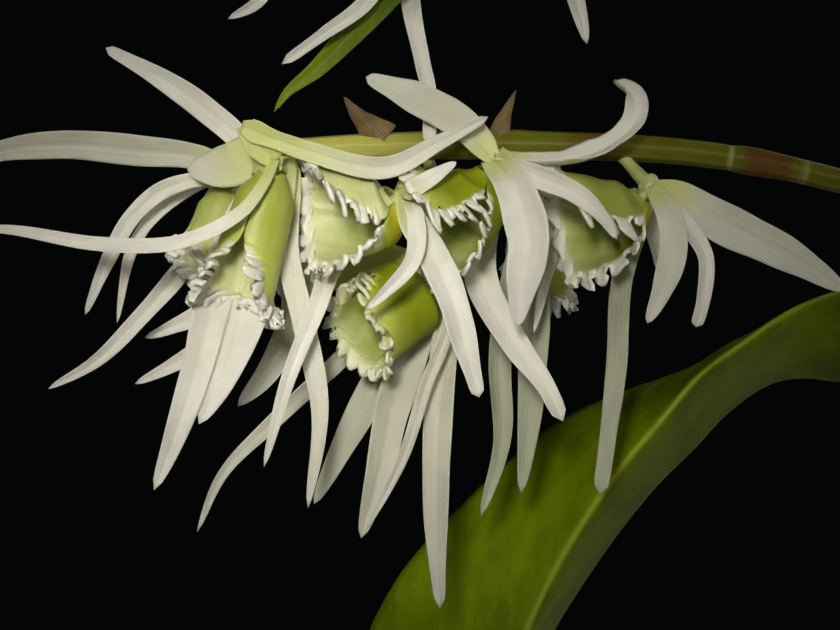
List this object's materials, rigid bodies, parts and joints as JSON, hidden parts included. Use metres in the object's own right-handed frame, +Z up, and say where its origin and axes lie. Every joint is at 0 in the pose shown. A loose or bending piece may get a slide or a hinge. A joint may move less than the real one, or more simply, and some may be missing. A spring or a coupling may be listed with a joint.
{
  "type": "potted dendrobium orchid",
  "caption": "Potted orchid: arching jointed canes in bark in a plain clay pot, keeled strap leaves, and hanging groups of spidery white blooms with frilled green lips.",
  "frame": {"origin": "middle of the flat underside of the pot, on the surface it stands on", "axes": "+Z up; the picture looks along +Y, with +X to its right, so the front group of blooms hangs out over -X"},
  "size_m": [0.3253, 0.2732, 0.3773],
  "materials": {
    "clay": "unglazed terracotta, matt, with pale lime bloom",
    "bark": "rough composted bark chips",
    "cane": "smooth olive and pale yellow-green, brown at the joints, satin",
    "leaf": "glossy deep green with a pale midrib",
    "tepal": "warm white, waxy, translucent, with faint veins and a green tinge at the heart",
    "lip": "yellow-green with a white crisped margin, waxy"
  },
  "bodies": {
    "root": {"bark_bed": "bark", "bloom_a": "tepal", "bloom_b": "tepal", "bloom_c": "tepal", "bloom_d": "tepal", "bloom_e": "tepal", "bloom_f": "tepal", "bloom_g": "tepal", "bloom_h": "tepal", "bloom_rear_a": "tepal", "bloom_rear_b": "tepal", "bloom_upper_a": "tepal", "bloom_upper_b": "tepal", "bloom_upper_c": "tepal", "cane_1": "cane", "cane_2": "cane", "cane_3": "cane", "cane_4": "cane", "cane_5": "cane", "cane_6": "cane", "cane_7": "cane", "cane_8": "cane", "leaf_1": "leaf", "leaf_10": "leaf", "leaf_11": "leaf", "leaf_12": "leaf", "leaf_13": "leaf", "leaf_14": "leaf", "leaf_15": "leaf", "leaf_16": "leaf", "leaf_2": "leaf", "leaf_3": "leaf", "leaf_4": "leaf", "leaf_5": "leaf", "leaf_6": "leaf", "leaf_7": "leaf", "leaf_8": "leaf", "leaf_9": "leaf", "lip_a": "lip", "lip_b": "lip", "lip_c": "lip", "lip_d": "lip", "lip_e": "lip", "lip_f": "lip", "lip_g": "lip", "lip_h": "lip", "lip_rear_a": "lip", "lip_rear_b": "lip", "lip_upper_a": "lip", "lip_upper_b": "lip", "lip_upper_c": "lip", "pot": "clay"}
  },
  "joints": []
}
